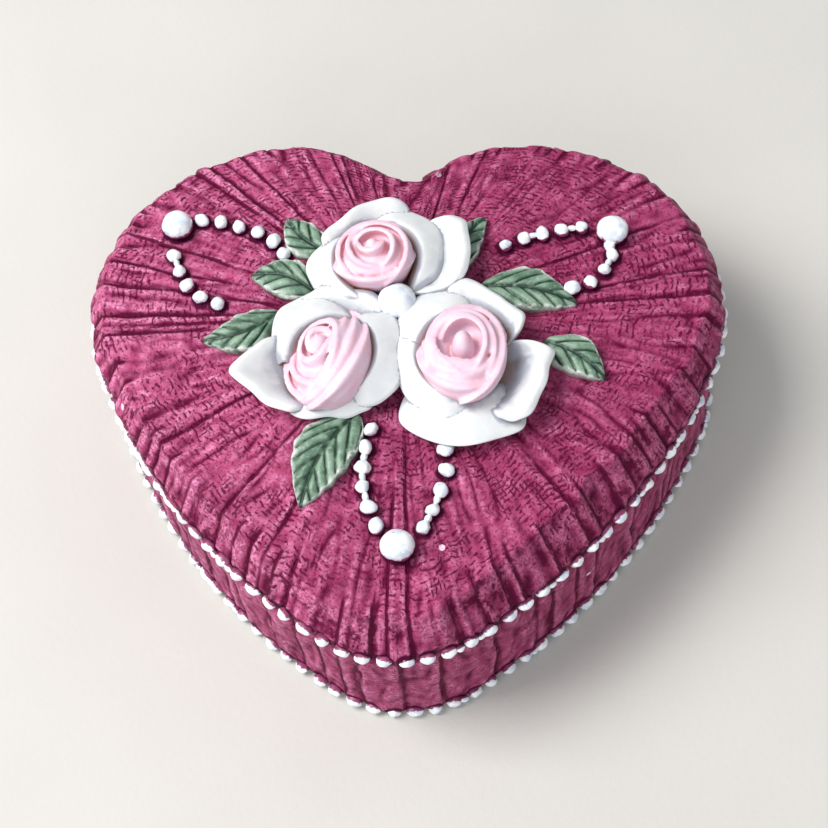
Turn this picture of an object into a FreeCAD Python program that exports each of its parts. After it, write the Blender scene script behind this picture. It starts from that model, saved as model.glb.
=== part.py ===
import FreeCAD, Part
import math
import os

# A heart-shaped trinket box: a dished base and a lift-off lid that carries three roses, seven leaves
# and strings of pearls. Millimetres. The frame's origin is at the middle of the underside, +X runs
# across the heart, +Y from its tip to its notch, and +Z up.

# The heart's outline: two lobe circles, two long side arcs, a tip circle and a small notch arc.
HALF_WIDTH = 54.0
LOBE_RADIUS = 31.9
LOBE_CENTRE = (HALF_WIDTH - LOBE_RADIUS, 15.8)
SIDE_RADIUS = 107.8
TIP_RADIUS = 20.95
TIP_CENTRE = (0.0, -26.8)
NOTCH_RADIUS = 3.0

# Heights above the table.
FELT_THICKNESS = 1.0
FLOOR_THICKNESS = 3.0
SEAM = 24.0
LID_RIM_TOP = 33.5
LID_CROWN_TOP = 35.2
BUD_TOP = 44.6

# The two castings.
WALL = 4.0
EDGE_ROUND = 2.5
FLOOR_FILLET = 3.0
FELT_INSET = 3.5
LIP_DEPTH = 2.9
LIP_CLEARANCE = 0.4
LIP_THICKNESS = 2.0
LID_CEILING = 31.5
FLOOR_TOP = FELT_THICKNESS + FLOOR_THICKNESS
LIP_OUTER = WALL + LIP_CLEARANCE
LIP_INNER = LIP_OUTER + LIP_THICKNESS

# The beaded edgings round the foot and round the lid's rim.
EDGE_BEADS = 91
EDGE_BEAD_RADIUS = 1.2
EDGE_BEAD_STANDOFF = 0.45
EDGE_BEAD_LIFT = 1.3

# The strings of pearls: the points that each loop passes through, and its large end pearl.
STRING_BEAD_RADIUS = 1.2
STRING_BEAD_PITCH = 3.4
STRING_BEAD_SINK = 0.5
END_PEARL_RADIUS = 2.7
STRINGS = {
    "left": {
        "points": [(-20.5, 21.3), (-27.7, 27.1), (-39.4, 27.5), (-38.5, 18.8), (-31.0, 11.5)],
        "end_pearl": (-39.4, 27.5),
    },
    "right": {
        "points": [(17.3, 22.7), (26.9, 26.1), (35.4, 25.4), (34.0, 18.1), (28.4, 14.3)],
        "end_pearl": (35.4, 25.4),
    },
    "front": {
        "points": [(-4.4, -12.6), (-5.3, -22.5), (0.5, -33.2), (7.2, -23.0), (7.6, -16.4)],
        "end_pearl": (0.5, -33.2),
    },
}

# The pearl between the three roses.
CENTRE_PEARL = (-0.6, 9.7, 38.6)
CENTRE_PEARL_RADIUS = 3.2

# The roses: the middle of each bud, and each outer petal's first and last angle and its reach from there.
BUD_FOOT_RADIUS = 5.4
BUD_WAIST_RADIUS = 7.0
BUD_NECK_RADIUS = 4.2
BUD_CAP_HEIGHT = 1.5
PETAL_FOOT_RADIUS = 5.0
PETAL_TIP_HEIGHT = 38.8
PETAL_THICKNESS = 1.8
PETAL_GAP = 1.0
ROSES = {
    "left": {
        "centre": (-11.0, -1.1),
        "petals": [(27, 104, 13.2), (104, 160, 13.6), (160, 236, 16.0), (236, 306, 11.2), (306, 387, 10.4)],
    },
    "right": {
        "centre": (10.0, -1.0),
        "petals": [(24, 88, 13.6), (88, 152, 13.8), (152, 209, 10.4), (209, 311, 15.6), (311, 384, 15.2)],
    },
    "back": {
        "centre": (-4.1, 17.3),
        "petals": [(-36, 40, 16.4), (40, 96, 13.2), (96, 142, 11.2), (142, 233, 11.6)],
    },
}

# The leaves: stem end, tip and greatest width.
LEAF_HEIGHT = 1.9
LEAVES = {
    "back_left": ((-12.6, 21.0), (-20.6, 29.1), 6.4),
    "upper_left": ((-15.0, 13.6), (-25.9, 17.2), 7.4),
    "lower_left": ((-20.5, 9.3), (-33.3, 4.4), 7.0),
    "front": ((-6.6, -9.8), (-15.1, -26.2), 9.6),
    "back_right": ((9.6, 18.0), (13.9, 28.7), 5.4),
    "upper_right": ((13.0, 14.1), (29.3, 11.2), 8.0),
    "lower_right": ((23.4, 5.0), (32.8, -1.1), 7.0),
}


def vector(x, y, z=0.0):
    return FreeCAD.Vector(x, y, z)


def side_centre():
    """The centre of the right-hand side arc, which touches the lobe and tip circles from inside."""
    gap = math.dist(LOBE_CENTRE, TIP_CENTRE)
    to_lobe = SIDE_RADIUS - LOBE_RADIUS
    to_tip = SIDE_RADIUS - TIP_RADIUS
    along = (to_lobe**2 - to_tip**2 + gap**2) / (2 * gap)
    across = math.sqrt(to_lobe**2 - along**2)
    ux = (TIP_CENTRE[0] - LOBE_CENTRE[0]) / gap
    uy = (TIP_CENTRE[1] - LOBE_CENTRE[1]) / gap
    return (LOBE_CENTRE[0] + along * ux + across * uy, LOBE_CENTRE[1] + along * uy - across * ux)


def notch_centre():
    """The centre of the notch arc, which touches both lobe circles from outside."""
    reach = LOBE_RADIUS + NOTCH_RADIUS
    return (0.0, LOBE_CENTRE[1] + math.sqrt(reach**2 - LOBE_CENTRE[0] ** 2))


def arc(centre, radius, first, last, z):
    """The arc about centre from the direction first to the direction last, the short way round."""
    directions = [first, (first + last).normalize(), last]
    points = [vector(*centre, z) + d * radius for d in directions]
    return Part.Arc(*points).toShape()


def direction(start, end):
    return vector(end[0] - start[0], end[1] - start[1]).normalize()


def mirrored(v):
    return vector(-v.x, v.y)


def heart(inset, z):
    """The heart's outline, moved inwards by inset, at height z, starting in the middle of its notch.

    All its arcs keep their centres."""
    side = side_centre()
    notch = notch_centre()
    notch_to_lobe = direction(notch, LOBE_CENTRE)
    side_to_lobe = direction(side, LOBE_CENTRE)
    side_to_tip = direction(side, TIP_CENTRE)
    lobe = (-LOBE_CENTRE[0], LOBE_CENTRE[1])
    far_side = (-side[0], side[1])
    lobe_r = LOBE_RADIUS - inset
    side_r = SIDE_RADIUS - inset
    down = vector(0, -1)
    edges = [
        arc(notch, NOTCH_RADIUS + inset, down, notch_to_lobe, z),
        arc(LOBE_CENTRE, lobe_r, -notch_to_lobe, side_to_lobe, z),
        arc(side, side_r, side_to_lobe, side_to_tip, z),
        arc(TIP_CENTRE, TIP_RADIUS - inset, side_to_tip, mirrored(side_to_tip), z),
        arc(far_side, side_r, mirrored(side_to_tip), mirrored(side_to_lobe), z),
        arc(lobe, lobe_r, mirrored(side_to_lobe), -mirrored(notch_to_lobe), z),
        arc(notch, NOTCH_RADIUS + inset, mirrored(notch_to_lobe), down, z),
    ]
    return Part.Wire(edges)


def heart_prism(inset, low, high):
    return Part.Face(heart(inset, low)).extrude(vector(0, 0, high - low))


def crown_radius():
    """The radius of the lid's gently crowned top."""
    rise = LID_CROWN_TOP - LID_RIM_TOP
    return (HALF_WIDTH**2 + rise**2) / (2 * rise)


def crown_height(x, y):
    """The height of the lid's top over a point of the plan."""
    radius = crown_radius()
    return LID_CROWN_TOP - radius + math.sqrt(radius**2 - x**2 - y**2)


def edges_at(shape, low, high):
    """The edges of a shape that lie between two heights all along."""
    return [e for e in shape.Edges if e.BoundBox.ZMin > low and e.BoundBox.ZMax < high]


def base_shell():
    body = heart_prism(0, FELT_THICKNESS, SEAM)
    cavity = heart_prism(WALL, FLOOR_TOP, SEAM)
    floor_edges = edges_at(cavity, FLOOR_TOP - 0.1, FLOOR_TOP + 0.1)
    return body.cut(cavity.makeFillet(FLOOR_FILLET, floor_edges))


def felt_pad():
    return heart_prism(FELT_INSET, 0, FELT_THICKNESS)


def lid_outside():
    """The lid without its hollow: a heart with a crowned top and a rounded shoulder."""
    ball = Part.makeSphere(crown_radius(), vector(0, 0, LID_CROWN_TOP - crown_radius()))
    block = heart_prism(0, SEAM, LID_CROWN_TOP + 1).common(ball)
    shoulder = edges_at(block, SEAM + 1, LID_CROWN_TOP + 1)
    return block.makeFillet(EDGE_ROUND, shoulder)


def lid_shell(outside):
    """The lid's casting, whose lip drops inside the base's wall to keep the lid in place."""
    lip = heart_prism(LIP_OUTER, SEAM - LIP_DEPTH, SEAM)
    hollow = heart_prism(LIP_INNER, SEAM - LIP_DEPTH, LID_CEILING)
    return outside.fuse(lip).cut(hollow)


def edge_beads(z):
    """A ring of domed beads whose flat backs lie against the wall, evenly spaced round the heart."""
    path = heart(-EDGE_BEAD_STANDOFF, z)
    back_radius = math.sqrt(EDGE_BEAD_RADIUS**2 - EDGE_BEAD_STANDOFF**2)
    notch_hollow = NOTCH_RADIUS - math.sqrt(NOTCH_RADIUS**2 - back_radius**2)
    back_angle = -math.degrees(math.asin(EDGE_BEAD_STANDOFF / EDGE_BEAD_RADIUS))
    beads = []
    for centre in path.discretize(Number=EDGE_BEADS + 1)[:-1]:
        along = min(path.Edges, key=lambda edge: edge.distToShape(Part.Vertex(centre))[0])
        outward = (centre - along.Curve.Center).normalize()
        if along.Curve.Radius < NOTCH_RADIUS:
            outward = -outward
            centre = centre + outward * notch_hollow
        beads.append(Part.makeSphere(EDGE_BEAD_RADIUS, centre, outward, back_angle, 90, 360))
    return Part.makeCompound(beads)


def end_pearl(place):
    return Part.makeSphere(END_PEARL_RADIUS, vector(*place, crown_height(*place) + END_PEARL_RADIUS / 2))


def string_beads(points, pearl):
    """The small beads of one loop, evenly spaced, leaving room for the large pearl at its end."""
    curve = Part.BSplineCurve()
    curve.interpolate([vector(*p) for p in points])
    path = curve.toShape()
    count = round(path.Length / STRING_BEAD_PITCH) + 1
    clear = END_PEARL_RADIUS + STRING_BEAD_RADIUS
    beads = []
    for p in path.discretize(Number=count):
        if math.dist((p.x, p.y), pearl) > clear:
            centre = vector(p.x, p.y, crown_height(p.x, p.y) + STRING_BEAD_SINK)
            beads.append(Part.makeSphere(STRING_BEAD_RADIUS, centre))
    return beads


def turned(outline, centre, first=0.0, sweep=360.0):
    """The solid that a closed outline, given as (radius, height) edges, makes turning about centre."""
    face = Part.Face(outline)
    solid = face.revolve(vector(0, 0, 0), vector(0, 0, 1), sweep)
    solid.rotate(vector(0, 0, 0), vector(0, 0, 1), first)
    solid.translate(vector(*centre))
    return solid


def bud(centre):
    """A rosebud: narrow at its foot, full at its waist, and closed by a cap that is part of a ball."""
    foot = vector(BUD_FOOT_RADIUS, 0, LID_RIM_TOP)
    waist = vector(BUD_WAIST_RADIUS, 0, (LID_RIM_TOP + BUD_TOP) / 2)
    neck = vector(BUD_NECK_RADIUS, 0, BUD_TOP - BUD_CAP_HEIGHT)
    ball = (BUD_NECK_RADIUS**2 + BUD_CAP_HEIGHT**2) / (2 * BUD_CAP_HEIGHT)
    half_turn = math.asin(BUD_NECK_RADIUS / ball) / 2
    shoulder = vector(ball * math.sin(half_turn), 0, BUD_TOP - ball + ball * math.cos(half_turn))
    top = vector(0, 0, BUD_TOP)
    heel = vector(0, 0, LID_RIM_TOP)
    outline = Part.Wire([
        Part.makeLine(heel, foot),
        Part.Arc(foot, waist, neck).toShape(),
        Part.Arc(neck, shoulder, top).toShape(),
        Part.makeLine(top, heel),
    ])
    return turned(outline, centre)


def petal(centre, first, last, reach):
    """One outer petal: a sector of a shallow cup that rises outwards, with its outer corners rounded."""
    low = LID_RIM_TOP
    high = PETAL_TIP_HEIGHT
    section = Part.makePolygon([
        vector(PETAL_FOOT_RADIUS, 0, low),
        vector(reach - PETAL_THICKNESS, 0, high - 1.6 * PETAL_THICKNESS),
        vector(reach, 0, high - PETAL_THICKNESS / 2),
        vector(reach - PETAL_THICKNESS / 2, 0, high),
        vector(PETAL_FOOT_RADIUS, 0, high),
        vector(PETAL_FOOT_RADIUS, 0, low),
    ])
    sector = turned(section, centre, first + PETAL_GAP, last - first - 2 * PETAL_GAP)
    middle = math.radians((first + last) / 2)
    off = 0.35 * reach
    rounding = Part.makeCylinder(
        reach - off,
        high,
        vector(centre[0] + off * math.cos(middle), centre[1] + off * math.sin(middle)),
    )
    return sector.common(rounding)


def leaf(stem, tip, width):
    """A pointed oval blade lying on the lid."""
    middle = vector((stem[0] + tip[0]) / 2, (stem[1] + tip[1]) / 2, LID_RIM_TOP - 1)
    across = direction(stem, tip).cross(vector(0, 0, 1)) * (width / 2)
    stem_end = vector(*stem, middle.z)
    tip_end = vector(*tip, middle.z)
    outline = Part.Wire([
        Part.Arc(stem_end, middle + across, tip_end).toShape(),
        Part.Arc(tip_end, middle - across, stem_end).toShape(),
    ])
    top = crown_height(middle.x, middle.y) + LEAF_HEIGHT
    return Part.Face(outline).extrude(vector(0, 0, top - middle.z))


def fitted_against(shape, placed):
    """What is left of a shape once every solid already placed is cut from it: its largest solid."""
    near = [other for other in placed if other.BoundBox.intersect(shape.BoundBox)]
    return max(shape.cut(near).Solids, key=lambda solid: solid.Volume)


def trimmings(outside):
    """Every piece on the lid, from the pearls up, each cut to sit against those before it."""
    pieces = {"centre_pearl": Part.makeSphere(CENTRE_PEARL_RADIUS, vector(*CENTRE_PEARL))}
    for side, rose in ROSES.items():
        pieces[f"rose_{side}_bud"] = bud(rose["centre"])
    for side, rose in ROSES.items():
        for number, (first, last, reach) in enumerate(rose["petals"], 1):
            pieces[f"rose_{side}_petal_{number}"] = petal(rose["centre"], first, last, reach)
    for side, string in STRINGS.items():
        pieces[f"end_pearl_{side}"] = end_pearl(string["end_pearl"])
    for place, (stem, tip, width) in LEAVES.items():
        pieces[f"leaf_{place}"] = leaf(stem, tip, width)

    placed = [outside]
    nodes = {}
    for name, shape in pieces.items():
        nodes[name] = fitted_against(shape, placed)
        placed.append(nodes[name])
    for side, string in STRINGS.items():
        beads = string_beads(string["points"], string["end_pearl"])
        nodes[f"pearl_string_{side}"] = Part.makeCompound([fitted_against(bead, placed) for bead in beads])
    return nodes


def all_nodes():
    outside = lid_outside()
    nodes = {
        "base_shell": base_shell(),
        "base_felt_pad": felt_pad(),
        "base_bead_edging": edge_beads(EDGE_BEAD_LIFT),
        "lid_shell": lid_shell(outside),
        "lid_bead_edging": edge_beads(SEAM + EDGE_BEAD_LIFT),
    }
    nodes.update(trimmings(outside))
    return nodes


os.makedirs("parts", exist_ok=True)
for node, solid in all_nodes().items():
    solid.exportStep(f"parts/{node}.step")
    print(node, solid.isValid(), len(solid.Solids), round(solid.Volume, 1))
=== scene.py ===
import math

import bmesh
import bpy
import numpy as np
from mathutils import Matrix, Vector, noise
from mathutils.bvhtree import BVHTree
from mathutils.kdtree import KDTree


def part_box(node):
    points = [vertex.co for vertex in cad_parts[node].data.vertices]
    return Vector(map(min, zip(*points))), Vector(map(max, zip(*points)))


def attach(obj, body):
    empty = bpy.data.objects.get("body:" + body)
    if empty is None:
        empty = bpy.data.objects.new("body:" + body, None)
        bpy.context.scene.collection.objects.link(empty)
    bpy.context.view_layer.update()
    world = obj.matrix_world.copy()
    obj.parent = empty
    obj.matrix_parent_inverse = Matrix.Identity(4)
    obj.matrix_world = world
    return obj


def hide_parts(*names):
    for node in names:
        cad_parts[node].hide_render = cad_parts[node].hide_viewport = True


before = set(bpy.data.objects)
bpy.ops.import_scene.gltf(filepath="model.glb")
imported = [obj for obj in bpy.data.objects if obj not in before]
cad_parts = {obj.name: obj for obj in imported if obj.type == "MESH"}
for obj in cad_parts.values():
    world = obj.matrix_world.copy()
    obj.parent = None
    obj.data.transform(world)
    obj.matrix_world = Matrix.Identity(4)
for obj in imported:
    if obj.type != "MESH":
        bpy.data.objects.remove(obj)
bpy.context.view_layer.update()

# The looks of a heart-shaped trinket box cast in resin. Shapes are worked out in millimetres in the
# frame's own axes (+X across the heart, +Y from tip to notch, +Z up) and scaled when a mesh is made.
MM = 0.001

# The camera, and the point of the table that it looks at.
AZIMUTH = math.radians(6.93)
ELEVATION = math.radians(61.51)
ROLL = math.radians(-6.29)
DISTANCE = 314.6
TARGET = Vector((0.17, 9.49, 0.0))
LENS = 73.9
SENSOR = 36.0

# The heart's outline, as in the frame: circles that touch each other.
LOBE_RADIUS = 31.9
LOBE_CENTRE = np.array((22.1, 15.8))
SIDE_RADIUS = 107.8
TIP_RADIUS = 20.95
TIP_CENTRE = np.array((0.0, -26.8))
NOTCH_RADIUS = 3.0
MIRROR = np.array((-1.0, 1.0))
OUTLINE_POINTS = 760

# The castings' sections: each inset is measured inwards from the outline.
WALL = 4.0
LIP_OUTER = 4.4
LIP_INNER = 6.4
FLOOR_TOP = 4.0
FLOOR_FILLET = 3.0
LID_CEILING = 31.5
SEAM_GAP = 0.08
CROWN_RISE = 1.7
ROUNDED = 0.4
FELT_INSET = 3.5

# The point in plan that the pleats run to, and how long their way to it is across the top.
GATHER = np.array((0.5, 8.5))
GATHER_REACH = 44.0

# How many rings of points each part of the castings' outer skins has.
TOP_RINGS = 78
SHOULDER_RINGS = 10
WALL_RINGS = 14
BASE_RINGS = 36

# The strings of pearls, the large pearls, and the radii of the small beads.
STRINGS = ("left", "right", "front")
LARGE_PEARLS = ("centre_pearl", "end_pearl_left", "end_pearl_right", "end_pearl_front")
STRING_RADIUS = 1.2
EDGE_RADIUS = 1.15

UP = np.array((0.0, 0.0, 1.0))


def node_box(node):
    """A CAD node's lowest and highest corners, in millimetres."""
    low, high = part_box(node)
    return np.array(low) / MM, np.array(high) / MM


def smooth(x, low, high):
    """0 below low, 1 above high and a smooth rise between them."""
    x = np.clip((np.asarray(x, float) - low) / (high - low), 0.0, 1.0)
    return x * x * (3.0 - 2.0 * x)


# ---------------------------------------------------------------- the heart's outline


def angle_of(v):
    return math.atan2(v[1], v[0])


def heart_arcs():
    """Arcs clockwise from the notch: centre, radius, first and last angle, and outward sign."""
    gap = np.linalg.norm(TIP_CENTRE - LOBE_CENTRE)
    to_lobe = SIDE_RADIUS - LOBE_RADIUS
    to_tip = SIDE_RADIUS - TIP_RADIUS
    along = (to_lobe**2 - to_tip**2 + gap**2) / (2 * gap)
    across = math.sqrt(to_lobe**2 - along**2)
    ahead = (TIP_CENTRE - LOBE_CENTRE) / gap
    side = LOBE_CENTRE + along * ahead + across * np.array((ahead[1], -ahead[0]))
    reach = LOBE_RADIUS + NOTCH_RADIUS
    notch = np.array((0.0, LOBE_CENTRE[1] + math.sqrt(reach**2 - LOBE_CENTRE[0] ** 2)))
    at_notch = angle_of(LOBE_CENTRE - notch)
    at_lobe = angle_of(LOBE_CENTRE - side)
    at_tip = angle_of(TIP_CENTRE - side)
    down = -math.pi / 2
    turn = -math.pi
    return [
        (notch, NOTCH_RADIUS, down, at_notch, -1),
        (LOBE_CENTRE, LOBE_RADIUS, at_notch + math.pi, at_lobe, 1),
        (side, SIDE_RADIUS, at_lobe, at_tip, 1),
        (TIP_CENTRE, TIP_RADIUS, at_tip, turn - at_tip, 1),
        (side * MIRROR, SIDE_RADIUS, turn - at_tip, turn - at_lobe, 1),
        (LOBE_CENTRE * MIRROR, LOBE_RADIUS, turn - at_lobe, 2 * turn - at_notch, 1),
        (notch, NOTCH_RADIUS, turn - at_notch, down, -1),
    ]


def outline(count):
    """Evenly spaced points round the heart, their outward normals, and its length."""
    arcs = heart_arcs()
    lengths = [radius * abs(last - first) for _, radius, first, last, _ in arcs]
    ends = np.cumsum([0.0, *lengths])
    points = []
    normals = []
    for place in np.arange(count) * ends[-1] / count:
        k = min(int(np.searchsorted(ends, place, side="right")) - 1, len(arcs) - 1)
        centre, radius, first, last, sign = arcs[k]
        angle = first + (last - first) * (place - ends[k]) / lengths[k]
        ray = np.array((math.cos(angle), math.sin(angle)))
        points.append(centre + radius * ray)
        normals.append(sign * ray)
    return np.array(points), np.array(normals), ends[-1]


# ---------------------------------------------------------------- meshes


def added(name, data):
    """A new object in the scene."""
    thing = bpy.data.objects.new(name, data)
    bpy.context.scene.collection.objects.link(thing)
    return thing


def new_piece(name, body, material, points, faces, attributes=None, maps=None):
    """A mesh piece from points in millimetres, riding on a body."""
    mesh = bpy.data.meshes.new(name)
    mesh.from_pydata((np.asarray(points, float).reshape(-1, 3) * MM).tolist(), [], faces)
    for key, values in (attributes or {}).items():
        layer = mesh.attributes.new(key, "FLOAT", "POINT")
        layer.data.foreach_set("value", np.ravel(values).astype(np.float32))
    for key, values in (maps or {}).items():
        layer = mesh.uv_layers.new(name=key)
        layer.data.foreach_set("uv", np.ravel(values).astype(np.float32))
    skin = bmesh.new()
    skin.from_mesh(mesh)
    bmesh.ops.recalc_face_normals(skin, faces=skin.faces)
    skin.to_mesh(mesh)
    skin.free()
    mesh.polygons.foreach_set("use_smooth", [True] * len(mesh.polygons))
    mesh.materials.append(material)
    piece = added(name, mesh)
    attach(piece, body)
    return piece


def grid_faces(rows, columns, closed=True):
    """The quads of a grid of points, whose rows wrap round where they are closed."""
    index = np.arange(rows * columns).reshape(rows, columns)
    if closed:
        index = np.hstack((index, index[:, :1]))
    corners = (index[:-1, :-1], index[:-1, 1:], index[1:, 1:], index[1:, :-1])
    return np.stack(corners, 2).reshape(-1, 4).tolist()


def capped(layers):
    """Rings of points joined into one closed skin, with a fan of triangles at each end."""
    columns = len(layers[0])
    count = len(layers) * columns
    last = count - columns
    faces = grid_faces(len(layers), columns)
    faces += [(count, (c + 1) % columns, c) for c in range(columns)]
    faces += [(count + 1, last + c, last + (c + 1) % columns) for c in range(columns)]
    return np.vstack((*layers, layers[0].mean(0), layers[-1].mean(0))), faces


def moved(faces, count):
    """Faces whose points come after count others."""
    return [tuple(i + count for i in face) for face in faces]


def unit(v):
    return v / np.linalg.norm(v)


# ---------------------------------------------------------------- materials

WINE = (0.090, 0.001, 0.025)
THREAD_PITCH = 0.92
THIN_GLOW = {"Subsurface_Weight": 0.08, "Subsurface_Scale": 0.001}


class Shader:
    """One material's nodes. Each method adds a node and returns its output."""

    def __init__(self, name):
        self.material = bpy.data.materials.new(name)
        self.material.use_nodes = True
        self.tree = self.material.node_tree
        self.tree.nodes.clear()
        self.place = self.node("ShaderNodeTexCoord").outputs["Object"]

    def node(self, kind, inputs=None, **settings):
        node = self.tree.nodes.new(kind)
        for key, value in settings.items():
            setattr(node, key, value)
        for key, value in (inputs or {}).items():
            socket = node.inputs[key]
            if isinstance(value, bpy.types.NodeSocket):
                self.tree.links.new(value, socket)
            elif socket.type == "RGBA":
                socket.default_value = (*value, 1.0)
            else:
                socket.default_value = value
        return node

    def math(self, operation, a, b=0.0, clamp=False):
        inputs = {0: a, 1: b}
        return self.node("ShaderNodeMath", inputs, operation=operation, use_clamp=clamp).outputs[0]

    def times(self, a, b, clamp=False):
        return self.math("MULTIPLY", a, b, clamp)

    def plus(self, a, b):
        return self.math("ADD", a, b)

    def minus(self, a, b):
        return self.math("SUBTRACT", a, b)

    def line(self, value, start, slope):
        """start where value is 0, rising by slope as it goes to 1."""
        return self.plus(start, self.times(value, slope))

    def vector(self, operation, a, b):
        """Two vectors added or subtracted."""
        return self.node("ShaderNodeVectorMath", {0: a, 1: b}, operation=operation).outputs[0]

    def split(self, vector):
        return self.node("ShaderNodeSeparateXYZ", {0: vector}).outputs

    def map(self, name):
        return self.node("ShaderNodeUVMap", uv_map=name).outputs[0]

    def scaled(self, size, at=None):
        """A texture's inputs for features that are about size millimetres across."""
        return {"Vector": at or self.place, "Scale": 1 / (size * MM)}

    def noise(self, size, detail=2.0, rough=0.5, at=None):
        """Soft noise from 0 to 1."""
        inputs = {**self.scaled(size, at), "Detail": detail, "Roughness": rough}
        return self.node("ShaderNodeTexNoise", inputs).outputs[0]

    def wander(self, size, reach):
        """A soft random offset of up to about half of reach, for millimetre coordinates."""
        cloud = self.node("ShaderNodeTexNoise", self.scaled(size)).outputs[1]
        inputs = {0: self.vector("SUBTRACT", cloud, (0.5, 0.5, 0.5)), "Scale": reach}
        return self.node("ShaderNodeVectorMath", inputs, operation="SCALE").outputs[0]

    def step(self, value, low, high):
        """0 where value is below low and 1 above high, with a smooth rise between."""
        inputs = {"Value": value, "From Min": low, "From Max": high}
        return self.node("ShaderNodeMapRange", inputs, interpolation_type="SMOOTHSTEP").outputs[0]

    def mix(self, factor, first, second):
        inputs = {"Factor": factor, 6: first, 7: second}
        return self.node("ShaderNodeMix", inputs, data_type="RGBA").outputs[2]

    def attribute(self, name):
        return self.node("ShaderNodeAttribute", attribute_name=name).outputs["Fac"]

    def ragged(self, name, size, reach):
        """An attribute with an uneven edge."""
        jitter = self.minus(self.noise(size, 3.0), 0.5)
        return self.plus(self.attribute(name), self.times(jitter, reach))

    def finish(self, colour, roughness, height, depth, **extra):
        """Ends in a Principled shader, with height as bump of depth millimetres."""
        bump = self.node("ShaderNodeBump", {"Height": height, "Distance": depth * MM, "Strength": 1.0})
        inputs = {"Base Color": colour, "Roughness": roughness, "Normal": bump.outputs[0]}
        inputs.update({key.replace("_", " "): value for key, value in extra.items()})
        shader = self.node("ShaderNodeBsdfPrincipled", inputs)
        self.node("ShaderNodeOutputMaterial", {"Surface": shader.outputs[0]})
        return self.material


def weave_marks(s, elsewhere):
    """Short marks between the cloth's threads: rows in many patches, and crossed in some of them."""
    cloth = s.vector("ADD", s.map("cloth"), s.wander(3.0, 1.9))
    across, along, _ = s.split(s.vector("ADD", cloth, s.wander(0.8, 0.45)))

    def threads(place, broken_by):
        wave = s.math("SINE", s.times(place, math.pi / THREAD_PITCH))
        marks = s.minus(1.0, s.step(s.math("ABSOLUTE", wave), 0.22, 0.82))
        return s.times(marks, s.step(broken_by, 0.44, 0.56))

    rows = threads(along, s.noise(1.1, 2.0, at=elsewhere))
    crossed = s.step(s.noise(5.0, at=elsewhere), 0.48, 0.58)
    columns = s.times(threads(across, s.noise(1.0, 2.0)), crossed)
    patches = s.step(s.noise(8.0, 2.0), 0.30, 0.52)
    return s.times(s.math("MAXIMUM", columns, rows), patches)


def fold_lines(s, elsewhere):
    """A thin line along each fold, which comes and goes."""
    away, strength, _ = s.split(s.map("fold"))
    away = s.plus(s.math("ABSOLUTE", away), s.times(s.noise(1.1, 3.0), 0.35))
    lines = s.times(s.step(away, 0.60, 0.32), s.step(strength, 0.06, 0.34))
    return s.times(lines, s.step(s.noise(3.2, 2.0, at=elsewhere), 0.36, 0.46))


def bare_chips(s):
    """A few small round spots where the paint has come off."""
    cells = s.node("ShaderNodeTexVoronoi", s.scaled(9.0))
    return s.times(s.step(cells.outputs[0], 0.075, 0.050), s.step(s.noise(30.0), 0.52, 0.56))


def gathered_resin(name, weave_strength):
    """Painted resin with the print of gathered cloth: dark wash in the folds and between the threads, a
    pale dry-brushed colour on the ridges, a dark wine ring round each pearl's foot and a few bare
    chips.
    Painted light makes the paint lighter and the dry-brushing stronger on the left, where the window
    is, and the ring is partly painted shade."""
    s = Shader(name)
    elsewhere = s.vector("ADD", s.place, (0.3, 0.1, 0.2))
    marks = s.times(weave_marks(s, elsewhere), weave_strength)
    lines = fold_lines(s, elsewhere)
    specks = s.step(s.noise(0.5, 3.0, 0.65), 0.51, 0.65)
    # Painted light: 1 on the heart's left and 0 on its right, so that the paint is lighter and its
    # dry-brushing stronger on the side that the window lights, and darker on the right.
    left = s.step(s.split(s.place)[0], 0.030, -0.040)

    # Random patches of lighter paint, with painted light making them more and lighter towards the left.
    paler_tone_and_left_light = s.times(s.step(s.noise(14.0, 3.0), 0.35, 0.65), s.line(left, 0.35, 0.55))
    colour = s.mix(paler_tone_and_left_light, (0.27, 0.031, 0.096), (0.42, 0.068, 0.168))
    # Broad patches of dry-brushed pink, made stronger towards the left as painted light.
    broad = s.times(s.step(s.noise(2.0, 5.0, 0.7), 0.42, 0.68), s.line(left, 0.25, 0.45))
    colour = s.mix(broad, colour, (0.60, 0.17, 0.33))
    # Dry-brushing on the ridges and along the shoulder's crease, laid on more thickly towards the left
    # as painted light.
    brushed = s.times(s.attribute("ridge"), s.step(s.noise(0.9, 5.0, 0.75), 0.38, 0.62))
    colour = s.mix(s.times(brushed, s.line(left, 0.5, 0.4)), colour, (0.76, 0.28, 0.47))

    colour = s.mix(s.times(specks, 0.7), colour, (0.115, 0.002, 0.034))
    colour = s.mix(s.times(marks, 0.92), colour, WINE)
    shown = s.step(s.noise(2.4, 3.0, 0.6), 0.30, 0.52)
    washed = s.times(s.attribute("wash"), s.line(shown, 0.50, 0.90), clamp=True)
    colour = s.mix(washed, colour, WINE)
    colour = s.mix(s.times(lines, 0.95), colour, (0.085, 0.002, 0.024))
    # A dark wine ring round the foot of each pearl and bead: partly the wash that gathers there and
    # partly painted shade where they meet the top.
    from_pearl = s.plus(s.attribute("pearl"), s.times(s.minus(s.noise(1.2), 0.5), 0.9))
    colour = s.mix(s.step(from_pearl, 0.95, 0.42), colour, (0.06, 0.001, 0.022))
    colour = s.mix(bare_chips(s), colour, (0.80, 0.55, 0.66))

    height = s.minus(s.noise(0.7, 5.0, 0.65), s.times(marks, 0.9))
    height = s.minus(height, s.plus(s.times(specks, 0.35), lines))
    rough = s.line(s.noise(1.6, 3.0), 0.46, 0.25)
    return s.finish(colour, rough, height, 0.14, Specular_IOR_Level=0.08)


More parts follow.
